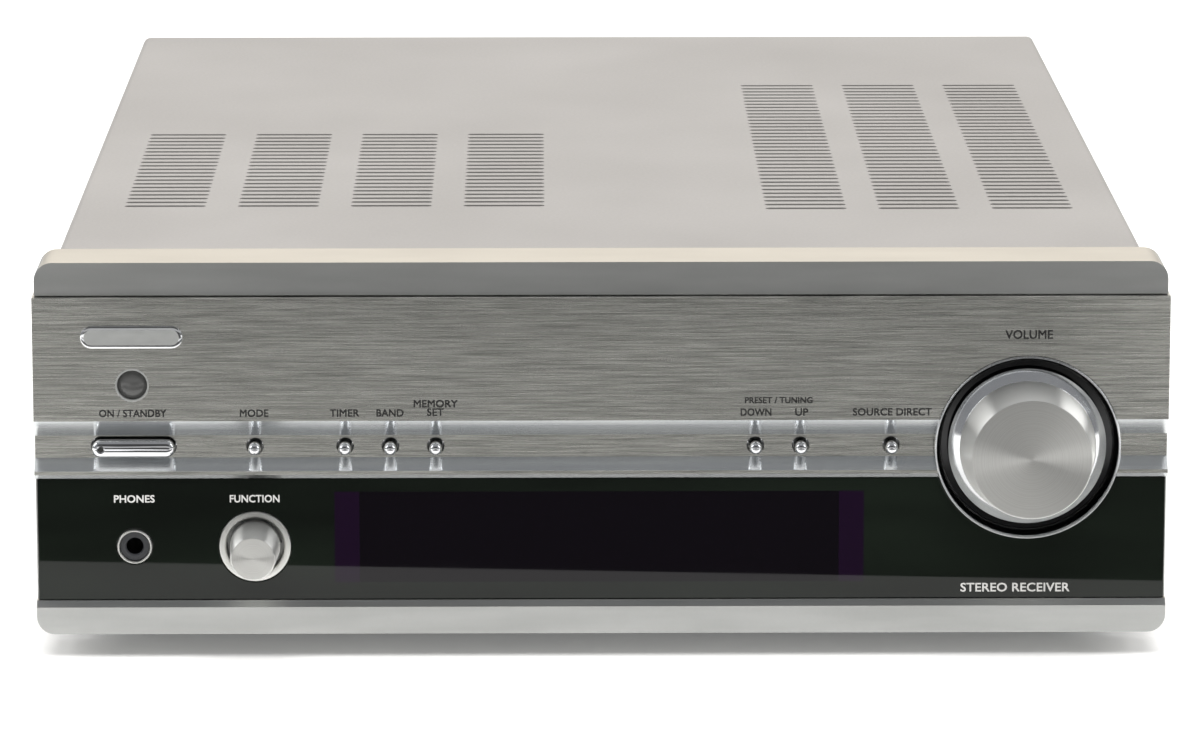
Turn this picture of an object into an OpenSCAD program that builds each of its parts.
// Compact stereo receiver: a brushed front with turned knobs, on a folded steel chassis
// that holds the transformer, amplifier, tuner and rear sockets. All sizes are millimetres.
// X runs to the right, Y from the front to the back and Z up. The origin is under the
// middle of the whole unit, on the surface that it stands on.

/* [Front panel] */
// Width of the front panel
panel_w = 250; // [246:1:256]
// Height of the front panel, without the feet
panel_h = 83.5; // [83:0.5:86]
// Depth of the strip along the top of the panel, back to the cover
strip_depth = 14.5; // [14:0.5:16]
// Height of the plain chin under the display window
chin_h = 6.1; // [5:0.1:6.5]
// Height of the display window
window_h = 27.6; // [26:0.2:28]
// Depth of the groove that the buttons stand in
groove_depth = 3; // [2:0.5:3.5]
// Height of the groove's flat floor
groove_floor = 5; // [4.8:0.1:5.4]
// Height of the groove's centre line above the panel's lower edge
groove_z = 41.9; // [41.5:0.1:42.3]
// Set-back of the narrow band above the main plate
band_back = 1; // [0.5:0.1:1.5]

/* [Volume control] */
// Distance of the volume knob from the panel's centre line
volume_x = 94; // [90:0.5:96]
// Outer diameter of the polished ring round the volume knob
volume_ring_d = 41.3; // [40:0.1:42]
// Diameter of the volume knob's flange
volume_flange_d = 35; // [33:0.5:36]
// Diameter of the volume knob's front face
volume_face_d = 26.3; // [24:0.1:28]
// How far the volume knob stands out of the panel
volume_out = 12.8; // [11:0.1:14]

/* [Function control] */
// Distance of the function knob left of the panel's centre line
function_x = 76.6; // [74:0.2:80]
// Height of the function knob and the phones jack above the panel's lower edge
lower_row_z = 19.7; // [19:0.1:20.4]
// Outer diameter of the ring round the function knob
function_ring_d = 15.9; // [15:0.1:17]
// How far the function knob stands out of the panel
function_out = 11.3; // [10:0.1:12]

/* [Buttons] */
// Diameter of the small push buttons
button_d = 2.8; // [2.4:0.1:3]
// Diameter of the hole that each push button stands in
button_hole_d = 3.9; // [3.6:0.1:4.2]
// Length of the power bar
power_bar_w = 18.2; // [16:0.1:19]
// Height of the power bar
power_bar_h = 3.8; // [3.4:0.1:4]
// Distance of the power bar, sensor and jack left of the panel's centre line
power_x = 103.2; // [102:0.1:104]

/* [Case] */
// Outer width of the steel cover
cover_w = 241; // [239:0.5:242]
// Length of the steel cover, front to back
cover_len = 318.5; // [315:0.5:322]
// Height of the feet under the front panel
foot_h = 5.5; // [5:0.5:8]
// Spacing of the cover's vent slots
vent_pitch = 5; // [4.8:0.1:5]
// Length of one vent slot
vent_w = 18.7; // [16:0.1:20]
// How far the rear sockets stand out behind the cover
socket_out = 8.8; // [8.5:0.1:9.5]

/* [Hidden] */
$fn = 48;

// Fits and sheet metal
fit = 0.05;         // radial clearance of a turning shaft or a sliding pin
slip = 0.1;         // gap round a piece that is set into another
sheet = 1;          // thickness of the folded steel
tap_r = 1.2;        // hole that a screw cuts its thread in

// Front panel, from the front face back
rim = 2.2;          // wall of the moulded frame
plate_t = groove_depth + 2;
window_y = 1;
window_t = 2.5;
wall_t = 2.5;
wall_back = plate_t + wall_t;
window_low = chin_h + 1.4;
window_high = window_low + window_h;
slope_low_h = 2.5;
slope_high_h = 3.8;
groove_low = groove_z - groove_floor / 2;
groove_high = groove_z + groove_floor / 2;
plate_top = 75.9;
corner_r = 4;
band_inset = 0.5;
button_xs = [-76.5, -56.6, -46.6, -36.6, 34, 44, 64];
power_hole = [19, 4.65];
sensor_z = 56.3;
sensor_hole_r = 3.5;

// Buttons, from the groove's floor back to the switches
collar_y = wall_back + 0.3;
collar_t = 0.8;
guide_y = 9.9;
guide_t = 1.5;
stem_end = 12.4;
plunger_y = 13.4;
switch_y = 14.5;
board_y = 18;
board_t = 1.6;

// Controls
shaft_r = 3;
volume_bush_r = 4.5;
function_bush_r = 3.5;
function_socket_r = 6.4;
jack_r = 1.8;
jack_depth = 16;

light_x = -power_x - power_bar_w / 2 + 2;
light_r = 0.85;

// Case
cover_y = strip_depth + 0.4;
cover_back = cover_y + cover_len;
rear_y = cover_back - sheet - slip - sheet;
socket_end = cover_back + socket_out;
cover_top = panel_h - 0.2;
cover_low = 1.5;
base_low = 1;
base_high = base_low + sheet;
inner_w = cover_w - 2 * sheet - 2 * slip;
bend_r = 2;
flange_h = 14;
front_flange_h = 6.5;
board_low = 9;
board_high = board_low + board_t;
pillars = [[-104, 188], [-104, 312], [110, 68], [110, 248], [-28, 68], [40, 312]];
pillar_r = 3;
boss_xs = [-107, 107];
boss_zs = [10, 71];
boss_r = 3;
foot_x = 103;
foot_ys = [48, 296];
foot_r = 12;
pad_r = 8.5;

// Parts inside and sockets behind
core_x = [-111, -45];
core_y = [102, 144];
core_high = 59;
sink_x = 50;
sink_y = [80, 240];
fin_count = 21;
post_xs = [-66, -47];
post_zs = [27, 46];
post_r = 3;
post_back = rear_y - 5;
cap_r = 5.4;
banana_r = 2.05;
banana_depth = 14;
rca_zs = [30, 46];
rca_a_xs = [-20, -4];
rca_b_xs = [20, 36];
rca_r = 4.15;
rca_pin_r = 1.65;
rca_pin_depth = 8;
rca_neck_r = 3.9;
rca_neck = 2.5;
socket_gap = 0.3;
antenna_at = [92, 30];
inlet_at = [-98, 24];
inlet_flange = 1.6;
inlet_depth = 12;

// The whole unit is centred on the origin, from the volume knob to the socket ends.
front_y = -(socket_end - volume_out) / 2;
panel_z = foot_h;

// ---- helpers: places are x from the centre line, y behind the front face and z above
// ---- the panel's lower edge

module at_panel() translate([0, front_y, panel_z]) children();

// A round bar along Y
module rod(x, z, r, from, to)
    translate([x, from, z]) rotate([-90, 0, 0]) cylinder(r = r, h = to - from);

// A turned shape about Y, from an outline of [radius, y] points
module lathe(x, z) translate([x, 0, z]) rotate([-90, 0, 0]) rotate_extrude() children();

// An outline of [y, z] points, run across the width
module run_x(w) translate([-w / 2, 0, 0]) rotate([90, 0, 90]) linear_extrude(w) children();

// An outline in X and Z, run from front to back
module run_y(from, to) translate([0, to, 0]) rotate([90, 0, 0]) linear_extrude(to - from) children();

// A box between two values on each axis
module block(x, y, z)
    translate([x[0], y[0], z[0]]) cube([x[1] - x[0], y[1] - y[0], z[1] - z[0]]);

// A long hole with round ends, lying along X
module pill(length, width) {
    square([length - width, width], center = true);
    for (side = [-1, 1]) translate([side * (length - width) / 2, 0]) circle(width / 2);
}

// A rectangle whose two upper corners are rounded
module arch(w, low, high, r) difference() {
    translate([-w / 2, low]) square([w, high - low]);
    for (side = [-1, 1]) translate([side * (w / 2 - r), high - r]) difference() {
        translate([side > 0 ? 0 : -r - 1, 0]) square(r + 1);
        circle(r);
    }
}

// The same with its two lower corners rounded
module tub(w, low, high, r) translate([0, low + high]) mirror([0, 1]) arch(w, low, high, r);

// The holes that the buttons, bar and sensor share in the plate and in the frame
module control_holes(from, to) {
    for (x = button_xs) rod(x, groove_z, button_hole_d / 2, from, to);
    rod(-power_x, sensor_z, sensor_hole_r + slip, from, to);
    translate([-power_x, 0, groove_z]) run_y(from, to) pill(power_hole[0], power_hole[1]);
}

// ---- front panel

module front_frame() color("#b4b5b1") at_panel() difference() {
    union() {
        difference() {
            union() {
                run_y(plate_t, strip_depth) tub(panel_w, 0, plate_top, corner_r);
                run_y(band_back, strip_depth)
                    arch(panel_w - 2 * band_inset, plate_top, panel_h, corner_r);
            }
            run_y(wall_back, strip_depth + slip) arch(panel_w - 2 * rim, rim, panel_h - rim, rim);
        }
        intersection() {
            run_x(panel_w) polygon([
                [0, 0], [0, chin_h], [window_y, window_low], [plate_t, window_low], [plate_t, 0]]);
            run_y(-slip, plate_t) tub(panel_w, 0, plate_top, corner_r);
        }
        block([-panel_w / 2, panel_w / 2], [window_y + window_t, plate_t],
            [window_low, window_high - slip]);
        for (x = boss_xs, z = boss_zs) rod(x, z, boss_r, wall_back - slip, board_y);
    }
    control_holes(plate_t - slip, wall_back + slip);
    block([-59, 58], [0, wall_back + slip], [11.5, 32]);
    rod(volume_x, groove_z, volume_ring_d / 2 + fit, -slip, plate_t);
    rod(volume_x, groove_z, volume_bush_r + slip, 0, wall_back + slip);
    rod(-function_x, lower_row_z, function_socket_r, 0, plate_t + 0.5);
    rod(-function_x, lower_row_z, function_bush_r + slip, 0, wall_back + slip);
    rod(-power_x, lower_row_z, 3.35, 0, wall_back + slip);
    for (x = boss_xs, z = boss_zs) rod(x, z, tap_r, 10, board_y + slip);
}

module fascia_plate() color("#8b8b84") at_panel() difference() {
    run_x(panel_w) polygon([
        [plate_t, window_high], [window_y, window_high], [0, window_high + window_y],
        [0, groove_low - slope_low_h], [groove_depth, groove_low],
        [groove_depth, groove_high], [0, groove_high + slope_high_h],
        [0, plate_top - 0.5], [0.5, plate_top], [plate_t, plate_top]]);
    control_holes(-slip, plate_t + slip);
    rod(volume_x, groove_z, volume_ring_d / 2 + fit, -slip, plate_t + slip);
}

module display_window() color("#0b0a0d") at_panel() difference() {
    block([slip * 4 - panel_w / 2, panel_w / 2 - slip * 4], [window_y, window_y + window_t],
        [window_low + slip, window_high - slip]);
    rod(volume_x, groove_z, volume_ring_d / 2 + fit, 0, plate_t);
    rod(-function_x, lower_row_z, function_ring_d / 2 + fit, 0, plate_t);
    rod(-power_x, lower_row_z, 3.95, 0, plate_t);
}

module badge() color("#c9cac8") at_panel() translate([-power_x, 0, 67.1]) difference() {
    run_y(-0.8, 0) pill(22.5, 5);
    run_y(-1, -0.5) pill(21.5, 4);
}

module sensor_lens() color("#2c2a30") at_panel() {
    lathe(-power_x, sensor_z)
        polygon([[0, 0.3], [2.9, 0.3], [3.1, -0.3], [3.4, -0.3], [3.4, 12], [0, 12]]);
}

// ---- volume control

module volume_ring() color("#d8d9d8") at_panel() lathe(volume_x, groove_z) {
    outer = volume_ring_d / 2;
    polygon([
        [outer, plate_t], [outer, 0], [outer - 0.2, -0.4], [outer - 0.5, -0.4],
        [outer - 0.7, 0], [outer - 0.7, plate_t]]);
}

module volume_well() color("#121214") at_panel() difference() {
    rod(volume_x, groove_z, volume_ring_d / 2 - 0.75, 3.6, plate_t);
    rod(volume_x, groove_z, volume_bush_r + slip, 3, plate_t + slip);
}

module volume_knob() color("#c6c7c5") at_panel() {
    flange = volume_flange_d / 2;
    face = volume_face_d / 2;
    difference() {
        union() {
            lathe(volume_x, groove_z) polygon([
                [0, -volume_out], [face, -volume_out], [face + 0.25, 0.5 - volume_out],
                [15, -3.6], [flange, 1.4], [flange, 2], [flange - 1.8, 2], [13, -3],
                [face - 1.7, 2.3 - volume_out], [0, 2.3 - volume_out]]);
            rod(volume_x, groove_z, 5, 2.2 - volume_out, 0.8);
        }
        rod(volume_x, groove_z, shaft_r + 0.02, 4 - volume_out, 1);
    }
}

module volume_shaft() color("#b9bab8") at_panel()
    rod(volume_x, groove_z, shaft_r, 4.4 - volume_out, 16.5);

module volume_encoder() color("#7d8084") at_panel() difference() {
    union() {
        rod(volume_x, groove_z, volume_bush_r, 1.2, 11);
        block([volume_x - 7, volume_x + 7], [11, board_y], [groove_z - 6.7, groove_z + 6.7]);
    }
    rod(volume_x, groove_z, shaft_r + fit, 1, 17);
}

// ---- function control

module function_ring() color("#babbb8") at_panel() lathe(-function_x, lower_row_z) {
    outer = function_ring_d / 2;
    polygon([
        [outer, 3.5], [outer, 0.9], [outer - 0.2, 0.6], [outer - 0.5, 0.6], [6.2, 2],
        [6.2, 3.5]]);
}

module function_knob() color("#c6c7c5") at_panel() difference() {
    lathe(-function_x, lower_row_z) polygon([
        [0, 2.5], [5.6, 2.5], [5, 0.6 - function_out], [4.7, -function_out],
        [0, -function_out]]);
    rod(-function_x, lower_row_z, shaft_r + 0.02, 2.5 - function_out, 3);
}

module function_shaft() color("#b9bab8") at_panel()
    rod(-function_x, lower_row_z, shaft_r, 3 - function_out, 16.5);

module function_encoder() color("#7d8084") at_panel() difference() {
    union() {
        rod(-function_x, lower_row_z, function_bush_r, 2.9, 11);
        block([-function_x - 6, 6 - function_x], [11, board_y],
            [lower_row_z - 6, lower_row_z + 6]);
    }
    rod(-function_x, lower_row_z, shaft_r + fit, 1, 17);
}

// Hexagon nuts that clamp the two encoders to the panel
module hex_nut(x, z, across, bore_r, from, to) difference() {
    translate([x, from, z]) rotate([-90, 0, 0])
        cylinder(r = across / sqrt(3), h = to - from, $fn = 6);
    rod(x, z, bore_r, from - 1, to + 1);
}

module encoder_nuts() color("#a8aaab") at_panel() {
    hex_nut(volume_x, groove_z, 12, volume_bush_r + slip, 1.6, 3.6);
    hex_nut(-function_x, lower_row_z, 10, function_bush_r + slip, 3.5, 5.5);
}

// ---- buttons

// A turned pin with a domed end, and a collar that keeps it behind the frame
module push_pin(x) color("#cfd0ce") at_panel() {
    translate([x, 0, groove_z]) sphere(button_d / 2);
    rod(x, groove_z, button_d / 2, 0, stem_end);
    rod(x, groove_z, 2.4, collar_y, collar_y + collar_t);
}

module mode_button() push_pin(button_xs[0]);
module timer_button() push_pin(button_xs[1]);
module band_button() push_pin(button_xs[2]);
module memory_button() push_pin(button_xs[3]);
module down_button() push_pin(button_xs[4]);
module up_button() push_pin(button_xs[5]);
module direct_button() push_pin(button_xs[6]);

module power_button() color("#cfd0ce") at_panel() difference() {
    union() {
        translate([-power_x, 0, groove_z]) run_y(-0.8, collar_y) pill(power_bar_w, power_bar_h);
        translate([-power_x, 0, groove_z]) run_y(collar_y, collar_y + collar_t) pill(21, 6.2);
        rod(-power_x, groove_z, button_d / 2, collar_y, stem_end);
    }
    rod(light_x, groove_z, light_r + fit, -1, 1);
}

module power_light() color("#e8ead8") at_panel() rod(light_x, groove_z, light_r, -0.85, 1);

// A channel behind the frame that the pins slide in
module button_guide() color("#1b1b1d") at_panel() difference() {
    block([-117, 74], [wall_back, guide_y + guide_t], [groove_z - 6, groove_z + 6]);
    block([-118, 75], [wall_back - slip, guide_y], [groove_z - 4.5, groove_z + 4.5]);
    for (x = concat(button_xs, [-power_x]))
        rod(x, groove_z, button_d / 2 + fit, guide_y - slip, guide_y + guide_t + slip);
}

module tact_switches() color("#3a3b3d") at_panel() for (x = concat(button_xs, [-power_x])) {
    block([x - 3, x + 3], [switch_y, board_y], [groove_z - 3, groove_z + 3]);
    rod(x, groove_z, 1.75, plunger_y, switch_y);
}

// ---- front board, display and jack

module front_board() color("#2c6a3e") at_panel() difference() {
    union() {
        block([-112, 112], [board_y, board_y + board_t], [7, 76]);
        block([-power_x - 3.5, 3.5 - power_x], [13, board_y], [sensor_z - 4, sensor_z + 4]);
        block([-30, 30], [board_y + board_t, board_y + board_t + 5], [52, 58]);
    }
    block([-power_x - 5.5, 5.5 - power_x], [17, 20], [lower_row_z - 5.5, lower_row_z + 5.5]);
    for (x = boss_xs, z = boss_zs) rod(x, z, 1.6, 17, 20);
}

module display_tube() color("#3d4a4c") at_panel() {
    block([-63, 62], [wall_back + slip, 14], [9.5, 34]);
    for (z = [10, 33]) block([-56, 55], [14, board_y], [z, z + 0.5]);
}

module phones_jack() color("#17171a") at_panel() difference() {
    union() {
        rod(-power_x, lower_row_z, 3.25, 1.3, wall_back + slip);
        block([-power_x - 4.5, 4.5 - power_x], [wall_back + slip, 22],
            [lower_row_z - 4.5, lower_row_z + 4.5]);
    }
    rod(-power_x, lower_row_z, jack_r, 1, 1.3 + jack_depth);
}

module phones_nut() color("#c9cac8") at_panel() lathe(-power_x, lower_row_z)
    polygon([[3.3, 3.5], [3.9, 3.5], [3.9, 0.8], [3.7, 0.5], [3.5, 0.5], [3.3, 0.8]]);

// ---- case

// Floor of the case with three turned-up edges, pillars for the boards and four rows of slots
module chassis_base() color("#a9adae") at_panel() {
    half = inner_w / 2;
    front = strip_depth + slip;
    difference() {
        union() {
            block([-half, half], [front, rear_y - slip], [base_low, base_high]);
            for (side = [-1, 1]) translate([side * (half - sheet / 2), 0, 0])
                block([-sheet / 2, sheet / 2], [front, rear_y - slip], [base_high, flange_h]);
            block([-half, half], [front, front + sheet], [base_high, front_flange_h]);
            for (p = pillars) translate([p[0], p[1], base_high])
                cylinder(r = pillar_r, h = board_low - base_high);
        }
        for (x = [20, 45, 70, -85], row = [0:11])
            translate([x, 200 - 8 * row, 0]) linear_extrude(base_high + slip) pill(18, 3);
        for (p = pillars) translate([p[0], p[1], 4]) cylinder(r = tap_r, h = board_low);
    }
}

module rear_panel() color("#9b9d9e") at_panel() difference() {
    run_y(rear_y, rear_y + sheet) arch(inner_w, base_low, cover_top - sheet - slip, bend_r);
    for (x = concat(rca_a_xs, rca_b_xs), z = rca_zs)
        rod(x, z, rca_r + socket_gap, rear_y - 1, rear_y + 2);
    for (x = post_xs, z = post_zs) rod(x, z, post_r + socket_gap, rear_y - 1, rear_y + 2);
    rod(antenna_at[0], antenna_at[1], 5.3, rear_y - 1, rear_y + 2);
    translate([inlet_at[0], 0, inlet_at[1]]) run_y(rear_y - 1, rear_y + 2)
        square([22.2, 14.2], center = true);
    for (i = [0:7]) translate([50 + 7 * i, 0, 68]) rotate([0, 90, 0])
        run_y(rear_y - 1, rear_y + 2) pill(14, 3);
}

// Wrap-round steel cover with two banks of vent slots and a lip over the rear panel
module vent_bank(xs, from, count) for (x = xs, i = [0:count - 1])
    translate([x, from + vent_pitch * (i + 0.5), cover_top - 2 * sheet])
        linear_extrude(3 * sheet) pill(vent_w, 2);

module top_cover() color("#a3a19d") at_panel() difference() {
    union() {
        run_y(cover_y, cover_back) difference() {
            arch(cover_w, cover_low, cover_top, bend_r);
            arch(cover_w - 2 * sheet, cover_low - sheet, cover_top - sheet, bend_r - sheet);
        }
        block([3 - cover_w / 2, cover_w / 2 - 3], [cover_back - sheet, cover_back],
            [cover_top - 10, cover_top - sheet / 2]);
    }
    vent_bank([-99.7, -73.7, -47.7, -21.7], cover_y + 55.6, 21);
    vent_bank([47.7, 73.7, 99.7], cover_y + 51.3, 37);
    for (y = [70, 280], side = [-1, 1]) translate([side * cover_w / 2, y, 8])
        rotate([0, 90, 0]) cylinder(r = 1.7, h = 4, center = true);
    for (x = [-105, 0, 105]) rod(x, cover_top - 5.5, 1.7, cover_back - 2, cover_back + 1);
}

// ---- feet: a moulded cup with a soft pad let into it

module foot(x, y) color("#26272a") at_panel() translate([x, y, 0]) rotate_extrude()
    polygon([
        [0, base_low], [foot_r, base_low], [foot_r, -1], [foot_r - 1.2, 0.8 - foot_h],
        [pad_r + fit, 0.8 - foot_h], [pad_r + fit, 1.8 - foot_h], [0, 1.8 - foot_h]]);

module foot_front_left() foot(-foot_x, foot_ys[0]);
module foot_front_right() foot(foot_x, foot_ys[0]);
module foot_back_left() foot(-foot_x, foot_ys[1]);
module foot_back_right() foot(foot_x, foot_ys[1]);

module foot_pads() color("#3c3c3e") at_panel() for (x = [-foot_x, foot_x], y = foot_ys)
    translate([x, y, -foot_h]) cylinder(r = pad_r, h = 1.8);

// ---- power supply

module transformer_core() color("#54565a") at_panel() difference() {
    block(core_x, core_y, [base_high + sheet, core_high]);
    for (side = [-1, 1]) translate([(core_x[0] + core_x[1]) / 2 + side * 16.5, 0, 31])
        block([-5.5, 5.5], [core_y[0] - 1, core_y[1] + 1], [-17, 17]);
}

module transformer_coil() color("#a35a2c") at_panel() {
    middle = (core_x[0] + core_x[1]) / 2;
    for (side = [-1, 1]) translate([middle + side * 16.5, 0, 31])
        block([-5.3, 5.3], core_y, [-16.8, 16.8]);
    for (y = [[core_y[0] - 13, core_y[0] - slip], [core_y[1] + slip, core_y[1] + 13]])
        block([middle - 22, middle + 22], y, [14, 48]);
}

module transformer_bracket() color("#b0b3b4") at_panel() difference() {
    union() {
        block([core_x[0] - 6, core_x[1] + 10], [112, 134], [base_high, base_high + sheet]);
        for (x = [core_x[0] - 1.6, core_x[1] + 0.1])
            block([x, x + 1.5], [112, 134], [base_high, core_high + 1.6]);
        block([core_x[0] - 1.6, core_x[1] + 1.6], [112, 134], [core_high + 0.1, core_high + 1.6]);
    }
    for (y = [117, 129]) translate([core_x[1] + 6, y, 0]) cylinder(r = 1.7, h = 4);
}

module filter_capacitors() color("#23306b") at_panel() for (y = [110, 142])
    translate([12, y, board_high]) cylinder(r = 12.5, h = 45);

// ---- boards and amplifier

module main_board() color("#2c6a3e") at_panel() difference() {
    translate([0, 0, board_low]) linear_extrude(board_t) polygon([
        [-110, 182], [-34, 182], [-34, 62], [116, 62], [116, 256], [52, 256], [52, 318],
        [-110, 318]]);
    for (p = pillars)
        translate([p[0], p[1], 0]) cylinder(r = 1.6, h = 20);
}

module heat_sink() color("#8d9092") at_panel() {
    block([sink_x, sink_x + 4], sink_y, [board_high, 70]);
    for (i = [0:fin_count - 1]) {
        y = sink_y[0] + i * (sink_y[1] - sink_y[0] - 1.6) / (fin_count - 1);
        block([sink_x + 4, sink_x + 34], [y, y + 1.6], [board_high, 70]);
    }
}

module power_transistors() color("#2a2a2c") at_panel() for (y = [98, 138, 178, 218]) {
    block([sink_x - 5, sink_x], [y - 8, y + 8], [30, 50]);
    for (step = [-1, 0, 1]) translate([sink_x - 3, y + 5 * step, 0])
        block([-0.5, 0.5], [-0.5, 0.5], [board_high, 30]);
}

module speaker_relay() color("#2d3d54") at_panel() for (x = [-70, -46])
    block([x, x + 20], [262, 278], [board_high, board_high + 20]);

module tuner_module() color("#c0c2c2") at_panel() difference() {
    block([64, 114], [262, 316], [board_low, 41]);
    for (x = [72, 82, 96, 106]) translate([x, 289, 40]) cylinder(r = 2, h = 2);
}

module flat_cable() color("#d9d6cc") at_panel() run_x(36) polygon([
    [24.7, 55], [29, 55], [44, 24], [71, 24], [74, 21], [74, board_high], [73.4, board_high],
    [73.4, 20.8], [70.8, 23.4], [43.6, 23.4], [28.6, 54.4], [24.7, 54.4]]);

// ---- rear sockets

module input_board() color("#2c6a3e") at_panel()
    block([-30, 46], [288, rear_y - 1], [20, 20 + board_t]);

// Four phono jacks: plated shells on narrower necks, behind one moulded body
module rca_block(xs, tint) color(tint) at_panel() {
    block([xs[0] - 7.5, xs[1] + 7.5], [rear_y - 13, rear_y - slip], [20 + board_t, 54]);
    for (x = xs, z = rca_zs) difference() {
        union() {
            rod(x, z, rca_neck_r, rear_y, rear_y + rca_neck);
            rod(x, z, rca_r, rear_y + rca_neck, socket_end);
        }
        rod(x, z, rca_pin_r, socket_end - rca_pin_depth, socket_end + 1);
    }
}

module rca_block_a() rca_block(rca_a_xs, "#e6e4de");
module rca_block_b() rca_block(rca_b_xs, "#e6e4de");

module antenna_jack() color("#c8c6bd") at_panel() difference() {
    x = antenna_at[0];
    z = antenna_at[1];
    union() {
        block([x - 8, x + 8], [316, rear_y - slip], [z - 8, z + 8]);
        rod(x, z, 5.2, rear_y - 1, rear_y + 2.5);
        rod(x, z, 4.7, rear_y, socket_end);
    }
    rod(x, z, 0.6, socket_end - 6, socket_end + 1);
}

// Moulded plate with four hollow posts that also take 4 mm plugs, each with a washer
// against the rear panel
module speaker_block() color("#1d1d20") at_panel() {
    block([post_xs[0] - 9, post_xs[1] + 9], [rear_y - 8, post_back - slip],
        [post_zs[0] - 9, post_zs[1] + 9]);
    for (x = post_xs, z = post_zs) {
        difference() {
            rod(x, z, post_r, post_back, socket_end);
            rod(x, z, banana_r, socket_end - banana_depth, socket_end + 1);
        }
        difference() {
            rod(x, z, post_r + 2, rear_y + sheet + slip, rear_y + 3);
            rod(x, z, post_r + slip, rear_y, rear_y + 4);
        }
    }
}

// Screw caps with a grip of flutes round them
module speaker_cap(x, z, tint) color(tint) at_panel() difference() {
    rod(x, z, cap_r, rear_y + 3.4, socket_end - 0.6);
    rod(x, z, post_r + fit, rear_y + 3, socket_end);
    for (i = [0:11]) rotate_about(x, z, 30 * i)
        rod(x + cap_r + 0.35, z, 0.75, rear_y + 3, socket_end);
}

module rotate_about(x, z, angle)
    translate([x, 0, z]) rotate([0, angle, 0]) translate([-x, 0, -z]) children();

module speaker_cap_1() speaker_cap(post_xs[0], post_zs[0], "#1a1a1c");
module speaker_cap_2() speaker_cap(post_xs[1], post_zs[0], "#1a1a1c");
module speaker_cap_3() speaker_cap(post_xs[0], post_zs[1], "#9c1f1d");
module speaker_cap_4() speaker_cap(post_xs[1], post_zs[1], "#9c1f1d");

// Two-pin mains inlet with a deep rounded socket
module mains_inlet() color("#1a1a1c") at_panel() translate([inlet_at[0], 0, inlet_at[1]]) {
    mouth = rear_y + sheet + inlet_flange + slip;
    difference() {
        union() {
            run_y(mouth - 16, mouth - inlet_flange) square([22, 14], center = true);
            run_y(mouth - inlet_flange, mouth) square([26, 18], center = true);
        }
        run_y(mouth - inlet_depth, mouth + 1) pill(16.6, 8.6);
    }
    for (side = [-1, 1]) rod(side * 4.3, 0, 1.2, mouth - inlet_depth - slip, mouth - 2.5);
}

// ---- fasteners

module pan_screw(head_r, head_h, shank_r, shank_l) {
    cylinder(r = head_r, h = head_h);
    translate([0, 0, -shank_l]) cylinder(r = shank_r, h = shank_l + slip);
}

module cover_screws() color("#b5b7b8") at_panel() {
    for (y = [70, 280], side = [-1, 1]) translate([side * cover_w / 2, y, 8])
        rotate([0, 90 * side, 0]) pan_screw(3, 1.8, 1.5, 1);
    for (x = [-105, 0, 105]) translate([x, cover_back, cover_top - 5.5])
        rotate([-90, 0, 0]) pan_screw(3, 1.8, 1.5, 1);
}

module chassis_screws() color("#b5b7b8") at_panel() {
    for (p = pillars)
        translate([p[0], p[1], board_high]) pan_screw(2.8, 1.6, 1.15, 5);
    for (y = [117, 129]) translate([core_x[1] + 6, y, base_high + sheet])
        pan_screw(2.8, 1.6, 1.5, 0.9);
    for (x = boss_xs, z = boss_zs) translate([x, board_y + board_t, z])
        rotate([-90, 0, 0]) pan_screw(2.8, 1.6, 1.15, 7);
}

front_frame();
fascia_plate();
display_window();
badge();
sensor_lens();
volume_ring();
volume_well();
volume_knob();
volume_shaft();
volume_encoder();
function_ring();
function_knob();
function_shaft();
function_encoder();
encoder_nuts();
power_button();
power_light();
mode_button();
timer_button();
band_button();
memory_button();
down_button();
up_button();
direct_button();
button_guide();
tact_switches();
front_board();
display_tube();
phones_jack();
phones_nut();
chassis_base();
rear_panel();
top_cover();
foot_front_left();
foot_front_right();
foot_back_left();
foot_back_right();
foot_pads();
transformer_core();
transformer_coil();
transformer_bracket();
main_board();
heat_sink();
power_transistors();
filter_capacitors();
speaker_relay();
input_board();
rca_block_a();
rca_block_b();
tuner_module();
antenna_jack();
speaker_block();
speaker_cap_1();
speaker_cap_2();
speaker_cap_3();
speaker_cap_4();
mains_inlet();
flat_cable();
cover_screws();
chassis_screws();
